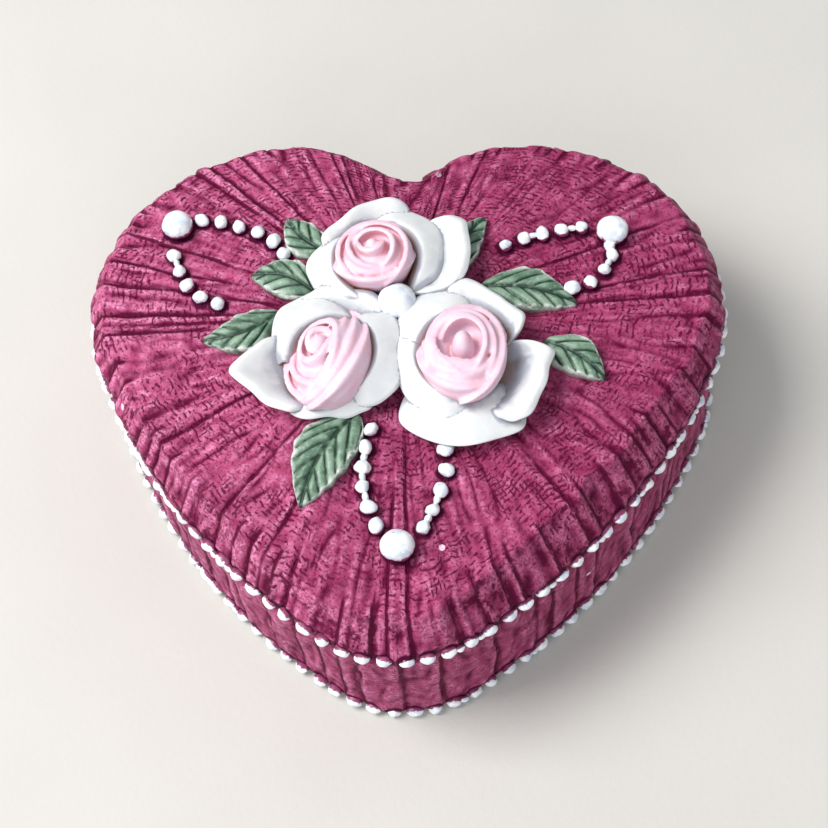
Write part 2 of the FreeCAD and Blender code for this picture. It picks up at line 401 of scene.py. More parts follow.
def pearl_paint():
    """Gloss white pearl paint with a blue-grey tone and small chips, over bare wine-coloured resin."""
    s = Shader("pearl_white")
    tone = s.mix(s.step(s.noise(1.6, 3.0), 0.42, 0.68), (0.80, 0.82, 0.84), (0.56, 0.63, 0.74))
    tone = s.mix(s.step(s.noise(0.7, 2.0), 0.70, 0.76), tone, (0.42, 0.24, 0.40))
    bare = s.step(s.plus(s.attribute("bare"), s.times(s.noise(0.8, 3.0), 0.5)), 0.66, 0.76)
    colour = s.mix(bare, tone, s.mix(s.noise(0.6), (0.34, 0.06, 0.16), (0.12, 0.012, 0.06)))
    rough = s.line(bare, 0.2, 0.35)
    return s.finish(colour, rough, s.noise(0.7, 2.0), 0.05, Coat_Weight=0.35, Coat_Roughness=0.15)


def petal_paint():
    """Matt bisque white, with painted shade: blue-grey where the roses' petals and buds shut it in, and
    a tan-brown painted shadow deepest beside the bud.
    """
    s = Shader("bisque_petal")
    deep = s.ragged("deep", 2.2, 0.12)
    colour = s.mix(s.step(s.noise(3.0, 2.0), 0.3, 0.7), (0.66, 0.67, 0.67), (0.59, 0.61, 0.625))
    # Painted shade: blue-grey where the petal is shut in by the petals and buds around it.
    colour = s.mix(s.times(s.step(deep, 0.07, 0.38), 0.9), colour, (0.29, 0.31, 0.36))
    # Painted shadow: tan-brown in the most shut-in places beside the bud.
    colour = s.mix(s.times(s.step(deep, 0.50, 0.74), 0.8), colour, (0.33, 0.22, 0.18))
    rough = s.line(s.noise(2.0), 0.48, 0.2)
    return s.finish(colour, rough, s.noise(1.3, 4.0), 0.06, **THIN_GLOW)


def bud_paint():
    """Matt pink, with painted shade: pale on the petals' lips, a deeper pink painted shade below them
    and a tan-brown painted shadow in the deepest folds.
    """
    s = Shader("pink_bud")
    deep = s.ragged("deep", 1.6, 0.2)
    colour = s.mix(s.step(s.noise(2.6, 2.0), 0.35, 0.65), (0.73, 0.47, 0.56), (0.72, 0.54, 0.64))
    # Painted shade: deeper pink where the wraps shut the surface in.
    colour = s.mix(s.step(deep, 0.12, 0.55), colour, (0.68, 0.34, 0.40))
    # Painted shadow: tan-brown in the most shut-in folds.
    colour = s.mix(s.step(deep, 0.56, 0.84), colour, (0.42, 0.19, 0.14))
    rough = s.line(s.noise(1.5), 0.46, 0.2)
    return s.finish(colour, rough, s.noise(0.9, 4.0), 0.05, **THIN_GLOW)


def leaf_paint():
    """Grey-green with dark carved veins, worn pale along the edges."""
    s = Shader("leaf_green")
    colour = s.mix(s.step(s.noise(2.5, 3.0), 0.35, 0.65), (0.065, 0.140, 0.085), (0.20, 0.31, 0.22))
    worn = s.times(s.attribute("edge"), s.step(s.noise(1.2, 4.0, 0.7), 0.36, 0.60))
    colour = s.mix(s.times(worn, 0.85), colour, (0.66, 0.66, 0.63))
    colour = s.mix(s.times(s.step(s.noise(0.8, 4.0, 0.7), 0.5, 0.7), 0.4), colour, (0.45, 0.55, 0.47))
    shown = s.plus(0.6, s.step(s.noise(1.6, 3.0), 0.35, 0.55))
    colour = s.mix(s.times(s.attribute("vein"), shown, clamp=True), colour, (0.006, 0.030, 0.016))
    return s.finish(colour, 0.5, s.noise(0.7, 4.0), 0.06)


def felt():
    """Short-piled wool felt."""
    s = Shader("felt")
    fibre = s.noise(0.35, 5.0, 0.7)
    colour = s.mix(s.step(fibre, 0.3, 0.7), (0.07, 0.012, 0.03), (0.16, 0.03, 0.065))
    return s.finish(colour, 0.95, fibre, 0.25, Sheen_Weight=0.4)


# ---------------------------------------------------------------- gathered shells


class Pleats:
    """Irregular knife pleats round the heart. Places along the outline are in millimetres."""

    def __init__(self, seed, narrowest, widest, depth):
        rng = np.random.default_rng(seed)
        count = round(LENGTH / (0.6 * narrowest + 0.4 * widest))
        widths = narrowest + (widest - narrowest) * rng.random(count) ** 1.5
        spare = np.minimum(widths, np.roll(widths, -1))
        self.count = count
        self.folds = np.cumsum(widths) * LENGTH / widths.sum()

        def between(low, high):
            return rng.uniform(low, high, count)

        lean = np.where(rng.random(count) < 0.8, 1.0, -1.0)
        lean = np.where(self.folds < LENGTH / 2, lean, -lean)
        self.step = lean * between(0.15, 0.9) * depth
        self.groove = between(0.10, 0.62) * depth
        self.bulge = between(-0.3, 0.40) * depth
        self.drift = between(-0.38, 0.38) * spare
        self.wobble = between(0.0, 0.07) * spare
        self.wave = between(0.0, 2 * math.pi)
        short = rng.random(count) < 0.58
        self.start = np.where(short, between(0.86, 0.96), between(0.15, 0.6))
        self.pucker = between(-1.0, 1.0)
        self.shift = rng.uniform(0.0, 9.0, (count, 2))

    def panels(self, places, path):
        """For each place of a ring: the folds before and after it, and how far off each is."""
        bend = smooth(path, 8.0, 50.0)
        folds = self.folds + self.drift * bend + self.wobble * np.sin(self.wave + path / 2.6)
        folds = np.concatenate((folds[-1:] - LENGTH, folds, folds[:1] + LENGTH))
        k = np.clip(np.searchsorted(folds, places, side="right") - 1, 0, self.count)
        before = places - folds[k]
        after = folds[k + 1] - places
        return (k - 1) % self.count, k % self.count, before, after

    def strength(self, folds, inwards, path):
        """How strongly a fold is cut: its own depth, fading out towards the gather."""
        cut = 0.35 + 0.65 * self.groove[folds] / self.groove.max()
        return cut * self.shown(folds, inwards) * self.depth_along(folds, path)

    def shown(self, folds, inwards):
        """0 inside the ring at which each fold starts, 1 a little further out."""
        return smooth(inwards, self.start[folds], np.minimum(self.start[folds] + 0.22, 1.0))

    def depth_along(self, folds, path):
        """How strongly each fold is cut at this way along it, so that its line comes and goes."""
        return 0.62 + 0.38 * np.sin(path / 5.5 + 3.1 * self.wave[folds])

    def height(self, places, path, inwards, spread):
        """The pleats' relief along one ring, and how far into a fold each place lies.

        inwards is 1 at the rim and 0 at the gather; spread is the ring's length over the rim's."""
        first, last, before, after = self.panels(places, path)
        across = before / (before + after)
        shown_first = self.shown(first, inwards)
        shown_last = self.shown(last, inwards)
        ramp = self.step[first] * shown_first * (1 - across) - self.step[last] * shown_last * across
        crown = 4 * across * (1 - across) * self.bulge[first] * inwards
        near_first = self.nearness(before * spread) * shown_first * self.depth_along(first, path)
        near_last = self.nearness(after * spread) * shown_last * self.depth_along(last, path)
        cut = near_first * self.groove[first] + near_last * self.groove[last]
        return (0.5 * ramp + crown) * min(1.0, 0.35 + spread) - cut, np.maximum(near_first, near_last)

    def nearness(self, away):
        """1 in the middle of a fold's groove and 0 beside it."""
        return np.exp(-((away / 0.36) ** 2))


def creases(points, across, along, path, size):
    """Sharp little valleys between rounded swells, from 0 in a valley to about 1."""
    return np.minimum(1.0, 4.0 * np.abs(rows_of_noise(points, across, along, path, size)))


def rows_of_noise(points, across, along, path, size):
    """Noise that runs in streaks: quick across the pleats and slow along them."""
    values = [noise.noise(Vector((p[0] / across, p[1] / across, path / along + size))) for p in points]
    return np.array(values)


def blurred(field, rows, columns):
    """A field averaged over a window, wrapping round its columns."""
    total = field.copy()
    for shift in range(1, columns + 1):
        total += np.roll(field, shift, 1) + np.roll(field, -shift, 1)
    total /= 2 * columns + 1
    padded = np.pad(total, ((rows, rows), (0, 0)), mode="edge")
    return sum(padded[k : k + len(field)] for k in range(2 * rows + 1)) / (2 * rows + 1)


RIM, OUT, LENGTH = outline(OUTLINE_POINTS)
PLACES = np.arange(OUTLINE_POINTS) * LENGTH / OUTLINE_POINTS
lid_low, lid_high = node_box("lid_shell")
base_low, base_high = node_box("base_shell")
SEAM = base_high[2]
LID_FOOT = SEAM + SEAM_GAP
CROWN_TOP = lid_high[2]
RIM_TOP = CROWN_TOP - CROWN_RISE


def crown_height(plan):
    """The height of the lid's gently crowned top over points of the plan."""
    half_width = (lid_high[0] - lid_low[0]) / 2
    radius = (half_width**2 + CROWN_RISE**2) / (2 * CROWN_RISE)
    return CROWN_TOP - radius + np.sqrt(radius**2 - (np.asarray(plan) ** 2).sum(-1))


def points_at(plan, heights):
    """Points of the plan at one height, or each at its own."""
    return np.column_stack((plan, np.broadcast_to(heights, len(plan))))


def ring_at(inset, z):
    """A plain ring round the heart, moved inwards by inset, at height z."""
    return points_at(RIM - OUT * np.asarray(inset).reshape(-1, 1), z)


def shoulder():
    """The lid's shoulder: how far in it starts, how far it drops, and how flat it is (2 is flat).

    It is steep and narrow on the left and at the back, and broadest in front on the right."""
    right = smooth(RIM[:, 0], -25.0, 35.0)
    front = smooth(-RIM[:, 1], -15.0, 30.0)
    width = 2.6 + 0.5 * right + 0.5 * front + 1.3 * right * front
    drop = 4.2 + 0.3 * right + 3.0 * front
    roundness = 1.8 + 0.15 * front
    return width, drop, roundness


def evened(values, reach):
    """Values round the heart, each averaged with its neighbours."""
    window = np.ones(2 * reach + 1) / (2 * reach + 1)
    return np.convolve(np.pad(values, reach, mode="wrap"), window, mode="valid")


def lid_rings(pleats):
    """The lid's outer rings from the gather outwards and down the wall.

    Each is (points, normals, inwards, spread, path); the path runs up the cloth from the foot."""
    first, _, _, _ = pleats.panels(PLACES, 9.0)
    width, drop, roundness = shoulder()
    broad = evened(width * (1 + 0.22 * pleats.pucker[first]), 3)[:, None]
    drop = evened(drop * (1 + 0.12 * pleats.pucker[first]), 3)
    edge = RIM - OUT * broad
    top = crown_height(edge)
    wall = RIM_TOP - LID_FOOT
    round_edge = 2.0
    up = points_at(0 * OUT, 1.0)
    outward = points_at(OUT, 0.0)
    rings = []
    for t in np.linspace(0.06, 1.0, TOP_RINGS):
        plan = GATHER + t * (edge - GATHER)
        path = wall + (1 - t) * GATHER_REACH
        rings.append((points_at(plan, crown_height(plan)), up, t, t, path))
    for a in np.linspace(0, math.pi / 2, SHOULDER_RINGS + 1)[1:]:
        plan = edge + OUT * broad * (math.sin(a) ** roundness)[:, None]
        points = points_at(plan, top - drop * (1 - max(math.cos(a), 0.0) ** roundness))
        normals = points_at(OUT * math.sin(a), math.cos(a))
        rings.append((points, normals, 1.0, 1.0, wall - round_edge * a / math.pi))
    start = top - drop
    for f in np.linspace(0, 1, WALL_RINGS + 1)[1:]:
        z = start + (LID_FOOT + ROUNDED - start) * f
        rings.append((points_at(RIM, z), outward, 1.0, 1.0, (wall - round_edge) * (1 - f)))
    return rings


def base_rings():
    """The base's outer rings from the seam down to its foot."""
    heights = np.linspace(SEAM - ROUNDED, base_low[2] + ROUNDED, BASE_RINGS)
    return [(ring_at(0.0, z), points_at(OUT, 0.0), 1.0, 1.0, z) for z in heights]


def relief_of(rings, pleats, crinkle):
    """The sculpted height of each ring's points, and how far into a fold they lie."""
    relief = []
    folds = []
    for points, normals, inwards, spread, path in rings:
        height, fold = pleats.height(PLACES, path, inwards, spread)
        height = height * (0.62 + 0.38 * (1 - normals[:, 2]))
        streaks = (0.10 + 0.14 * (1 - normals[:, 2])) * rows_of_noise(RIM, 1.7, 9.0, path, 0.0)
        streaks += 0.42 * rows_of_noise(RIM, 4.5, 16.0, path, 7.0)
        streaks += 0.20 * (creases(RIM, 3.6, 9.0, path, 3.0) - 0.6)
        lumps = np.array([noise.noise(Vector(p) / 6.0) for p in points]) * 0.5
        lumps += np.array([noise.noise(Vector(p) / 2.4) for p in points]) * 0.16
        relief.append(height + crinkle * (streaks * min(1.0, spread + 0.2) + lumps))
        folds.append(fold)
    return np.array(relief), np.array(folds)


def cloth_maps(rings, pleats):
    """Two maps for the quads' corners, in millimetres along and across the cloth.

    cloth holds the way from the pleat's middle and along it; fold holds the way from the nearest fold
    and how strongly that fold is cut there."""
    half = LENGTH / OUTLINE_POINTS / 2
    cloth = []
    fold = []
    for near, beyond in zip(rings[:-1], rings[1:]):
        middle = (near[4] + beyond[4]) / 2
        first, last, before, after = pleats.panels(PLACES + half, middle)
        nearest = np.where(before < after, before, -after)
        strength = pleats.strength(np.where(before < after, first, last), near[2], middle)
        shift = pleats.shift[first]
        for side, ring in ((-half, near), (half, near), (half, beyond), (-half, beyond)):
            across = ((before - after) / 2 + side) * ring[3]
            cloth.append((across + shift[:, 0], ring[4] + shift[:, 1]))
            fold.append(((nearest + side) * ring[3], strength))

    def by_corner(values):
        quads = np.reshape(values, (-1, 4, 2, OUTLINE_POINTS))
        return quads.transpose(0, 3, 1, 2).reshape(-1, 2)

    return by_corner(cloth), by_corner(fold)


def nearest_bead(points, beads):
    """Each point's distance from the nearest bead's surface; beads are (x, y, z, radius)."""
    tree = KDTree(len(beads))
    for k, bead in enumerate(beads):
        tree.insert(bead[:3], k)
    tree.balance()
    gaps = np.empty(len(points))
    for i, point in enumerate(points):
        gaps[i] = min(distance - beads[k][3] for _, k, distance in tree.find_n(point, 2))
    return gaps


def make_shell(body, material, skin, pleats, crinkle, beads):
    """One closed casting: plain rings, the sculpted rings, and plain rings again."""
    before, rings, after = skin
    relief, folds = relief_of(rings, pleats, crinkle)
    sculpted = [ring[0] + ring[1] * height[:, None] for ring, height in zip(rings, relief)]
    points, faces = capped(before + sculpted + after)
    raised = (relief - blurred(relief, 2, 3)) / 0.13
    level = np.array([ring[1][:, 2] for ring in rings])
    crease = np.abs(np.diff(level, axis=0, append=level[-1:])) * 7.0
    ridge = np.maximum(np.clip(raised, 0, 1), np.clip(crease, 0, 1) * (level > 0.75))
    wash = np.clip(-raised, 0, 1) * 0.75 + folds * 0.35

    def padded(values):
        return np.append(np.pad(values, ((len(before), len(after)), (0, 0))), (0.0, 0.0))

    attributes = {"wash": padded(wash), "ridge": padded(ridge), "pearl": nearest_bead(points, beads)}
    corners = sum(len(face) for face in faces)
    start = len(before) * OUTLINE_POINTS * 4
    maps = {}
    for key, values in zip(("cloth", "fold"), cloth_maps(rings, pleats)):
        maps[key] = np.zeros((corners, 2))
        maps[key][start : start + len(values)] = values
    piece = new_piece(f"{body}_gathered_shell", body, material, points, faces, attributes, maps)
    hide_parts(f"{body}_shell")


def islands(node):
    """The middle of each separate solid of a CAD node, in millimetres."""
    mesh = bmesh.new()
    mesh.from_mesh(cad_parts[node].data)
    bmesh.ops.remove_doubles(mesh, verts=mesh.verts, dist=1e-6)
    seen = set()
    centres = []
    for start in mesh.verts:
        stack = [start]
        island = []
        while stack:
            v = stack.pop()
            if v not in seen:
                seen.add(v)
                island.append(v.co)
                stack += [e.other_vert(v) for e in v.link_edges]
        if island:
            box = np.array(island)
            centres.append((box.min(0) + box.max(0)) / 2 / MM)
    mesh.free()
    return np.array(centres)


def beads_of(node, radius):
    """The beads of a CAD node, each as its middle and a radius."""
    return [(*centre, radius) for centre in islands(node)]


def rings_at(*places):
    """Plain rings, each from its inset and height."""
    return [ring_at(inset, z) for inset, z in places]


def make_lid(material, beads):
    """The lid's casting: a crowned, gathered top, its wall, the lip below and the hollow inside."""
    under = lid_low[2]
    inside = rings_at(
        (0.15, LID_FOOT + 0.12),
        (0.45, LID_FOOT),
        (2.0, LID_FOOT),
        (LIP_OUTER, LID_FOOT),
        (LIP_OUTER, under + ROUNDED),
        (LIP_OUTER + ROUNDED, under),
        (LIP_INNER - ROUNDED, under),
        (LIP_INNER, under + ROUNDED),
        (LIP_INNER, LID_CEILING - 1.5),
        (LIP_INNER + 0.5, LID_CEILING - 0.4),
        (LIP_INNER + 1.5, LID_CEILING),
        (14.0, LID_CEILING),
    )
    pleats = Pleats(11, 2.2, 7.8, 0.72)
    make_shell("lid", material, ([], lid_rings(pleats), inside), pleats, 1.0, beads)


def make_base(material, beads):
    """The base's casting: cavity, rim, gathered wall and flat underside."""
    low = base_low[2]
    cavity = rings_at(
        (16.0, FLOOR_TOP),
        (WALL + FLOOR_FILLET, FLOOR_TOP),
        (WALL + 0.3 * FLOOR_FILLET, FLOOR_TOP + 0.3 * FLOOR_FILLET),
        (WALL, FLOOR_TOP + FLOOR_FILLET),
        (WALL, SEAM - 0.5),
        (WALL - 0.4, SEAM - 0.05),
        (0.9, SEAM - 0.02),
        (0.35, SEAM - 0.15),
    )
    under = rings_at((0.15, low + 0.12), (0.5, low), (6.0, low), (16.0, low))
    pleats = Pleats(29, 2.8, 10.5, 0.55)
    make_shell("base", material, (cavity, base_rings(), under), pleats, 0.8, beads)


# ---------------------------------------------------------------- pearls


def ball(levels):
    """A unit ball's points and triangles."""
    mesh = bmesh.new()
    bmesh.ops.create_icosphere(mesh, subdivisions=levels, radius=1.0)
    points = np.array([v.co for v in mesh.verts])
    faces = [tuple(v.index for v in f.verts) for f in mesh.faces]
    mesh.free()
    return points, faces


def joined(parts):
    """Several skins' points and faces as one."""
    faces = []
    count = 0
    for points, skin in parts:
        faces += moved(skin, count)
        count += len(points)
    return np.concatenate([points for points, _ in parts]), faces


class Pearls:
    """Collects uneven blobs of resin into one piece."""

    def __init__(self, seed, levels):
        self.ball, self.ball_faces = ball(levels)
        self.rng = np.random.default_rng(seed)
        self.parts = []
        self.bare = []

    def add(self, centre, size, axes, painted, unevenness):
        """One blob: size along each of the axes, its paint thickest towards the direction painted."""
        offset = Vector(self.rng.uniform(-50, 50, 3))
        lumps = np.array([noise.noise(Vector(p) * 1.3 + offset) for p in self.ball])
        shape = self.ball * (1 + 2 * unevenness * lumps)[:, None] * np.asarray(size)
        self.parts.append((centre + shape @ np.asarray(axes), self.ball_faces))
        self.bare.append(0.5 - 0.5 * (self.ball @ np.asarray(axes) @ painted))

    def piece(self, name, body, material, node):
        attributes = {"bare": np.concatenate(self.bare)}
        piece = new_piece(name, body, material, *joined(self.parts), attributes)
        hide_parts(node)


def make_edging(body, material, seed):
    """A string of beads round a casting, painted on its outer side; paint joins some neighbours."""
    pearls = Pearls(seed, 3)
    rng = pearls.rng
    node = f"{body}_bead_edging"
    for centre in islands(node):
        nearest = np.argmin(np.linalg.norm(RIM - centre[:2], axis=1))
        out = np.array((*OUT[nearest], 0.0))
        along = np.cross(UP, out)
        axes = (along, out, UP)
        seat = np.array((*(RIM[nearest] + OUT[nearest] * 0.2), centre[2]))
        painted = out * 0.8 - UP * 0.25 + along * rng.uniform(-0.25, 0.25)
        size = (1.36 * rng.uniform(0.88, 1.12), 1.12, 0.88 * rng.uniform(0.85, 1.12))
        seat = seat + along * rng.uniform(-0.15, 0.15) + UP * rng.uniform(-0.1, 0.1)
        pearls.add(seat, size, axes, unit(painted), 0.1)
        if rng.random() < 0.22:
            pearls.add(seat + along * 1.8 + out * 0.3, (0.8, 0.6, 0.38), axes, out, 0.12)
    pearls.piece(f"{body}_beads", body, material, node)


def make_string(which, material, seed):
    """A looped string of half-sunk pearls on the lid's top; paint joins some neighbours."""
    pearls = Pearls(seed, 3)
    rng = pearls.rng
    node = f"pearl_string_{which}"
    centres = islands(node)
    for centre in centres:
        turn = rng.uniform(0, math.pi)
        axes = ((math.cos(turn), math.sin(turn), 0), (-math.sin(turn), math.cos(turn), 0), UP)
        seat = centre + (*rng.uniform(-0.15, 0.15, 2), 0.1)
        wide = 1.27 * rng.uniform(0.88, 1.12)
        painted = UP + (*rng.uniform(-0.3, 0.3, 2), 0)
        size = (wide * rng.uniform(0.95, 1.12), wide * rng.uniform(0.86, 1.0), 1.12)
        pearls.add(seat, size, axes, unit(painted), 0.09)
    for a, b in zip(centres[:-1], centres[1:]):
        if np.linalg.norm(b - a) < 4.2 and rng.random() < 0.25:
            along = unit(b - a)
            axes = (along, unit(np.cross(UP, along)), UP)
            pearls.add((a + b) / 2 + UP * 0.1, (0.9, 0.55, 0.6), axes, UP, 0.1)
    pearls.piece(f"string_{which}", "lid", material, node)


def make_pearl(node, material, seed, drip=None):
    """One large pearl; drip is the direction in plan in which its paint has run."""
    pearls = Pearls(seed, 4)
    low, high = node_box(node)
    centre = (low + high) / 2
    size = (high - low) / 2
    pearls.add(centre, size * (1.0, 0.97, 1.0), np.eye(3), UP, 0.035)
    if drip is not None:
        aim = unit(np.array((*drip, 0.0)))
        foot = centre + aim * size[0] * 0.95 - UP * 0.6
        pearls.add(foot, (1.5, 1.0, 1.0), (aim, np.cross(UP, aim), UP), UP, 0.1)
    pearls.piece(f"{node}_painted", "lid", material, node)


# ---------------------------------------------------------------- roses


def fuse(piece, voxel, rounds):
    """Fuses a piece's overlapping parts into one rounded skin, as they are in a casting."""
    remesh = piece.modifiers.new("fuse", "REMESH")
    remesh.mode = "VOXEL"
    remesh.voxel_size = voxel * MM
    soften = piece.modifiers.new("soften", "SMOOTH")
    soften.factor = 0.5
    soften.iterations = rounds
    bpy.context.view_layer.update()
    graph = bpy.context.evaluated_depsgraph_get()
    mesh = bpy.data.meshes.new_from_object(piece.evaluated_get(graph))
    material = piece.data.materials[0]
    piece.modifiers.clear()
    piece.data = mesh
    mesh.materials.clear()
    mesh.materials.append(material)
    mesh.polygons.foreach_set("use_smooth", [True] * len(mesh.polygons))


def slab(front, back):
    """A closed skin between two grids of points, each (rows, columns, 3)."""
    rows, columns, _ = front.shape
    count = rows * columns
    faces = grid_faces(rows, columns, closed=False)
    faces += [face[::-1] for face in moved(faces, count)]
    index = np.arange(count).reshape(rows, columns)
    border = np.concatenate((index[0], index[1:, -1], index[-1, -2::-1], index[-2:0:-1, 0])).tolist()
    for a, b in zip(border, border[1:] + border[:1]):
        faces.append((b, a, a + count, b + count))
    return np.concatenate((front.reshape(-1, 3), back.reshape(-1, 3))), faces


def grid_normals(grid):
    """Unit normals of a grid of points."""
    normals = np.cross(np.gradient(grid, axis=1), np.gradient(grid, axis=0))
    return normals / np.maximum(np.linalg.norm(normals, axis=2, keepdims=True), 1e-9)


# Each bud's wraps from the outside in: where the wrap's middle lies round the bud in degrees, how far
# it reaches round, how far out it stands (1 at the bud's side), the height of its lip above the crown
# at its middle, how far the lip drops towards the wrap's ends, and how far it folds in over the bud.
# tilt is the direction in which the bud leans, and by how many degrees. hollow is how far its core
# sinks in the middle. size and shift are in plan.
BUDS = {
    "left": dict(
        tilt=(148, 32),
        hollow=1.2,
        size=(1.08, 1.34),
        shift=(-0.2, -0.1),
        wraps=[
            (-30, 230, 1.00, 6.4, 4.6, 0.05),
            (-25, 228, 0.97, 7.6, 4.6, 0.18),
            (150, 240, 0.97, 6.4, 2.6, 0.0),
            (-20, 224, 0.94, 8.5, 4.2, 0.34),
            (205, 220, 0.80, 7.2, 2.4, 0.0),
            (20, 235, 0.72, 8.9, 3.0, 0.12),
            (120, 230, 0.60, 8.6, 2.4, 0.0),
            (-60, 230, 0.46, 8.8, 1.8, 0.0),
            (150, 240, 0.32, 9.0, 1.4, 0.0),
        ],
    ),
    "right": dict(
        tilt=(95, 12),
        hollow=3.4,
        size=(1.02, 1.28),
        shift=(0.5, -0.1),
        wraps=[
            (250, 235, 1.00, 6.4, 4.2, 0.10),
            (25, 240, 0.98, 7.2, 3.6, 0.04),
            (282, 225, 0.97, 7.2, 3.8, 0.22),
            (135, 230, 0.95, 7.5, 3.2, 0.10),
            (262, 215, 0.93, 7.9, 3.4, 0.38),
            (75, 250, 0.80, 8.6, 2.4, 0.06),
            (215, 190, 0.70, 7.9, 2.8, 0.0),
            (50, 235, 0.62, 8.9, 2.0, 0.0),
        ],
    ),
    "back": dict(
        tilt=(125, 9),
        hollow=1.0,
        size=(0.97, 0.92),
        shift=(-0.3, 0.5),
        wraps=[
            (265, 240, 1.00, 6.4, 3.4, 0.04),
            (150, 240, 0.98, 7.2, 3.2, 0.04),
            (50, 250, 0.94, 7.9, 3.0, 0.08),
            (190, 235, 0.72, 8.1, 2.2, 0.04),
            (60, 250, 0.60, 8.8, 1.8, 0.0),
            (280, 240, 0.36, 8.8, 1.2, 0.0),
        ],
    ),
}
BUD_WIDTH = 7.25
BUD_LIP = 0.85
BUD_MIDDLE = 4.6


def bud_side(height):
    """How far out a bud's side stands, over its height above the crown."""
    heights = (0.0, 2.0, 4.0, 5.6, 7.2, 8.4, 9.4)
    radii = (0.66, 0.86, 0.98, 1.0, 0.90, 0.76, 0.62)
    return BUD_WIDTH * np.interp(height, heights, radii)


def wrap_grids(middle, reach, out, lip, drop, fold, rng):
    """A wrap's two faces as grids round the bud's own upright axis."""
    u = np.linspace(-1, 1, 41)
    v = np.linspace(0, 1, 16)[:, None]
    wave = rng.uniform(0, 2 * math.pi)
    top = lip - drop * np.abs(u) ** 2.2 + 0.16 * np.sin(5 * u + wave)
    angle = np.radians(middle + u * reach / 2)
    tuck = 0.45 * u + 0.25 * np.abs(u) ** 3
    heights = v * top
    near_lip = smooth(heights, top - 2.0, top)
    folded = 1 - fold * (1 - u**2) * v**1.6
    radius = (bud_side(heights) * out - tuck) * folded + 0.55 * near_lip**1.5
    radius += 0.12 * np.sin(3 * u + wave) * v
    thick = BUD_LIP * (0.85 + 0.3 * near_lip)

    def face_at(r):
        r = np.maximum(r, 0.15)
        return np.stack((r * np.cos(angle), r * np.sin(angle), heights), 2)

    return face_at(radius), face_at(radius - thick)


def bud_skins(spec, rng):
    """A bud's wraps and its core as overlapping skins, round its own upright axis."""
    parts = [slab(*wrap_grids(*wrap, rng)) for wrap in spec["wraps"]]
    core, core_faces = ball(3)
    rise = np.sign(core[:, 2]) * np.abs(core[:, 2]) ** 0.5 * 4.0
    dome = np.column_stack((core[:, :2] * BUD_WIDTH * 0.84, rise))
    off_axis = np.linalg.norm(dome[:, :2], axis=1)
    dome[:, 2] -= spec["hollow"] * np.exp(-((off_axis / 3.4) ** 2))
    parts.append((dome + (0, 0, 3.5), core_faces))
    innermost_lip = spec["wraps"][-1][3]
    parts.append((core * (1.8, 1.8, 3.6) + (0, 0, innermost_lip - 3.5), core_faces))
    return joined(parts)


def make_bud(which, material, seed):
    """A rosebud, leant over, set on the crown, then fused and softened like a casting."""
    spec = BUDS[which]
    low, high = node_box(f"rose_{which}_bud")
    centre = (low[:2] + high[:2]) / 2
    points, faces = bud_skins(spec, np.random.default_rng(seed))
    towards, lean = (math.radians(angle) for angle in spec["tilt"])
    turn = Matrix.Rotation(lean, 3, (-math.sin(towards), math.cos(towards), 0.0))
    points = (points - (0, 0, BUD_MIDDLE)) @ np.array(turn).T * (*spec["size"], 1.0)
    points[:, 2] += high[2] - 0.02 - points[:, 2].max()
    points[:, 2] = np.maximum(points[:, 2], crown_height(centre) - 1.0)
    points[:, :2] += centre + spec["shift"]
    piece = new_piece(f"bud_{which}", "lid", material, points, faces)
    fuse(piece, 0.24, 5)
    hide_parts(f"rose_{which}_bud")
    return piece


# Each petal: whether it hugs its bud or is cupped open, its first and last angle round the rose, how
# far its lip reaches at even steps between them, and the heights of its crest and lip above the crown.
PETALS = {
    "left": [
        ("cup", 36, 122, (11.6, 13.6, 13.2, 14.2, 12.2), 2.0, 4.6),
        ("hug", 58, 182, (9.4, 11.4, 13.4, 13.6, 11.4, 10.4), 6.2, 2.8),
        ("cup", 150, 246, (9.5, 12.2, 17.0, 14.4, 12.5, 10.8), 0.7, 4.8),
        ("hug", 218, 326, (11.8, 11.2, 10.3, 10.4, 11.2), 4.6, 2.2),
        ("hug", 286, 432, (10.0, 11.6, 12.2, 12.0, 13.6, 12.6), 6.4, 3.2),
    ],
    "right": [
        ("cup", 16, 106, (8.8, 12.6, 12.0, 13.4, 14.6, 13.0), 1.4, 5.6),
        ("hug", 68, 180, (12.0, 14.2, 13.8, 12.8, 11.4), 6.4, 3.2),
        ("hug", 132, 290, (12.6, 11.6, 11.2, 11.2, 11.0, 9.8), 6.0, 3.4),
        ("hug", 203, 336, (12.6, 14.6, 15.4, 15.7, 15.7, 14.6), 4.2, 2.2),
        ("cup", 298, 380, (14.4, 15.6, 14.9, 14.9, 15.4, 9.2), 0.8, 5.4),
    ],
    "back": [
        ("cup", -44, 47, (9.2, 13.6, 15.3, 15.9, 17.2, 13.6), 1.0, 5.2),
        ("hug", -46, 102, (9.0, 11.2, 12.2, 12.0, 11.8, 11.0), 6.4, 3.6),
        ("cup", 58, 162, (12.8, 12.2, 11.2, 10.7, 10.9), 2.8, 5.6),
        ("hug", 128, 264, (10.6, 10.9, 11.9, 11.4, 10.4, 8.0), 6.2, 2.8),
    ],
}
PETAL_THICK = 0.8
PETAL_COLUMNS = 41
PETAL_ROWS = 29


def petal_profile(kind, reach, crest, lip, v):
    """A petal's radius and height, over v from its foot (0) to its lip (1).

    reach is how far out the lip is, and crest and lip are heights above the crown."""
    if kind == "cup":
        radius = 4.8 + (reach - 4.8) * v
        height = crest + (lip - crest) * smooth(v, 0.10, 0.96) - 0.45 * smooth(v, 0.90, 1.0)
        return radius, height
    top = 7.9
    climb = np.clip(v / 0.3, 0, 1)
    slope = np.clip((v - 0.3) / 0.7, 0, 1)
    radius = 6.0 + (top - 6.0) * climb + (reach - top) * slope
    height = crest - 2.2 * (1 - np.sin(np.pi / 2 * climb)) - (crest - lip) * slope**1.25
    return radius, height


